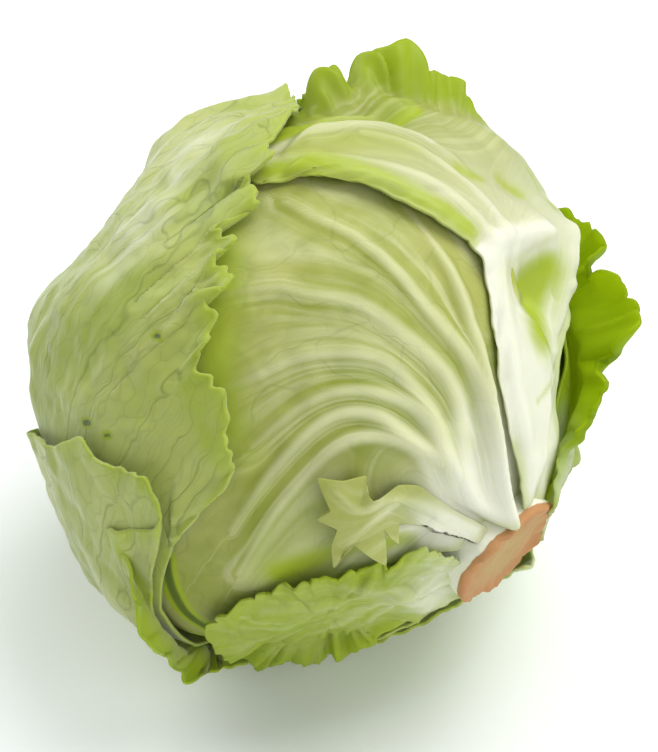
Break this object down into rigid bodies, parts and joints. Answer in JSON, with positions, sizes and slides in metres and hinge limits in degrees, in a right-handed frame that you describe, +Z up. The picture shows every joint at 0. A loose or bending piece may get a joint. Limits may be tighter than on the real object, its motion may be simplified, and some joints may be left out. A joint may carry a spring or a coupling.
{
  "type": "head of lettuce",
  "caption": "Crisp head lettuce lying on its side, with a cut stem, wrapped leaves with ribs and waved edges, and a small flat spot to rest on.",
  "frame": {"origin": "centre of the flat spot that the head rests on, straight under the middle of the head", "axes": "+Z up from the resting surface, -Y the way the cut stem points, +X to the right seen from the stem's side"},
  "size_m": [0.1533, 0.1486, 0.1489],
  "materials": {
    "stem_cut": "dried cut stem, fibrous, matt, orange brown at the rim and paler inside",
    "heart_leaf": "pale yellow green inner leaves, moist and slightly waxy",
    "ribbed_leaf": "pale yellow green with cream ribs, satin",
    "bright_leaf": "bright yellow green, thin and frilled, lets light through",
    "wrapper_leaf": "greyed green outer leaves with a fine vein net, matt and waxy"
  },
  "bodies": {
    "root": {"stem": "stem_cut", "heart": "heart_leaf", "ribbed_leaf": "ribbed_leaf", "inner_back_leaf": "wrapper_leaf", "crown_leaf": "bright_leaf", "top_leaf": "ribbed_leaf", "right_leaf": "bright_leaf", "bottom_leaf": "bright_leaf", "torn_leaf": "ribbed_leaf", "cap_leaf": "wrapper_leaf", "lower_left_leaf": "wrapper_leaf", "under_leaf": "wrapper_leaf"}
  },
  "joints": []
}
